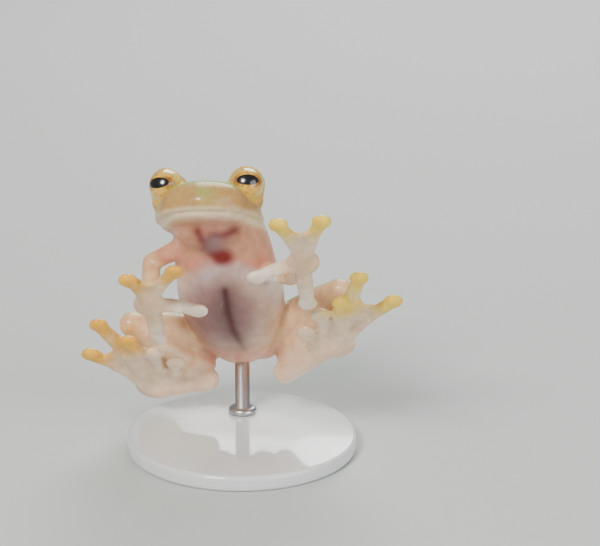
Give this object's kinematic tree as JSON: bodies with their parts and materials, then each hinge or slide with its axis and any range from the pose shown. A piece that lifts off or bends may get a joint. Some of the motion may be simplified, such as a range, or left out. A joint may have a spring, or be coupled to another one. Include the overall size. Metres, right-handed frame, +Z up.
{
  "type": "glass frog model",
  "caption": "Life-size still model of a glass frog held upright on a short display stand, belly and palms toward the viewer.",
  "frame": {"origin": "middle of the underside of the object's box, on the surface that the stand rests on", "axes": "+Z up, the frog's belly and face toward -Y, the frog's own left side toward +X"},
  "size_m": [0.0236, 0.0212, 0.0225],
  "materials": {
    "skin": "moist, soft, translucent skin: clear peach and pink below, lime green with golden spots above, yellow finger and toe tips",
    "eye": "glossy golden eye with a dark horizontal oval pupil",
    "rod": "fine brushed steel",
    "base": "polished pale acrylic with a softened edge"
  },
  "bodies": {
    "root": {"torso": "skin", "head": "skin", "jaw": "skin", "upper_arm_left": "skin", "forearm_left": "skin", "hand_left": "skin", "thigh_left": "skin", "shank_left": "skin", "foot_left": "skin", "upper_arm_right": "skin", "forearm_right": "skin", "hand_right": "skin", "thigh_right": "skin", "shank_right": "skin", "foot_right": "skin", "eye_left": "eye", "eye_right": "eye", "stand_rod": "rod", "stand_base": "base"}
  },
  "joints": []
}
